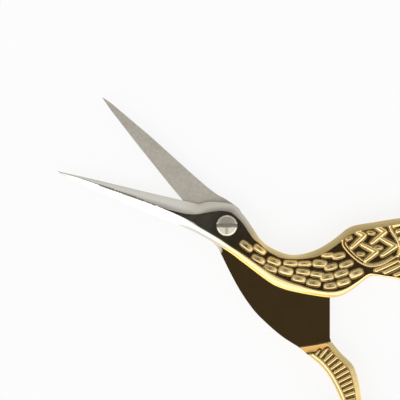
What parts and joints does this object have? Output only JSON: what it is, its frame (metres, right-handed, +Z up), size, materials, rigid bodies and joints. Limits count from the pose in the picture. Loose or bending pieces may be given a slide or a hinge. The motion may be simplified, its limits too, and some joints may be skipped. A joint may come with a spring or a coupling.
{
  "type": "embroidery scissors",
  "caption": "Small bird-shaped embroidery scissors: slim blades as the bill, a slotted pivot screw as the eye, feathered body halves and oval finger rings.",
  "frame": {"origin": "on the pivot axis, level with the underside that the scissors lie on", "axes": "+Z up along the pivot axis, out of the screw head; +Y along the middle line between the open blades, towards the tips"},
  "size_m": [0.0706, 0.0889, 0.0034],
  "materials": {
    "gilt_half": "gold-plated body that turns to polished nickel at the head and blade",
    "plated_half": "gold-plated leg and ring, polished plate, satin nickel blade",
    "screw": "polished, slightly domed"
  },
  "bodies": {
    "front": {"front_half": "gilt_half"},
    "back": {"back_half": "plated_half", "pivot_screw": "screw"}
  },
  "joints": [
    {"name": "pivot", "type": "hinge", "parent": "front", "child": "back", "pos_m": [0, 0, 0], "axis": [0, 0, 1], "range_deg": [-40, 28]}
  ]
}
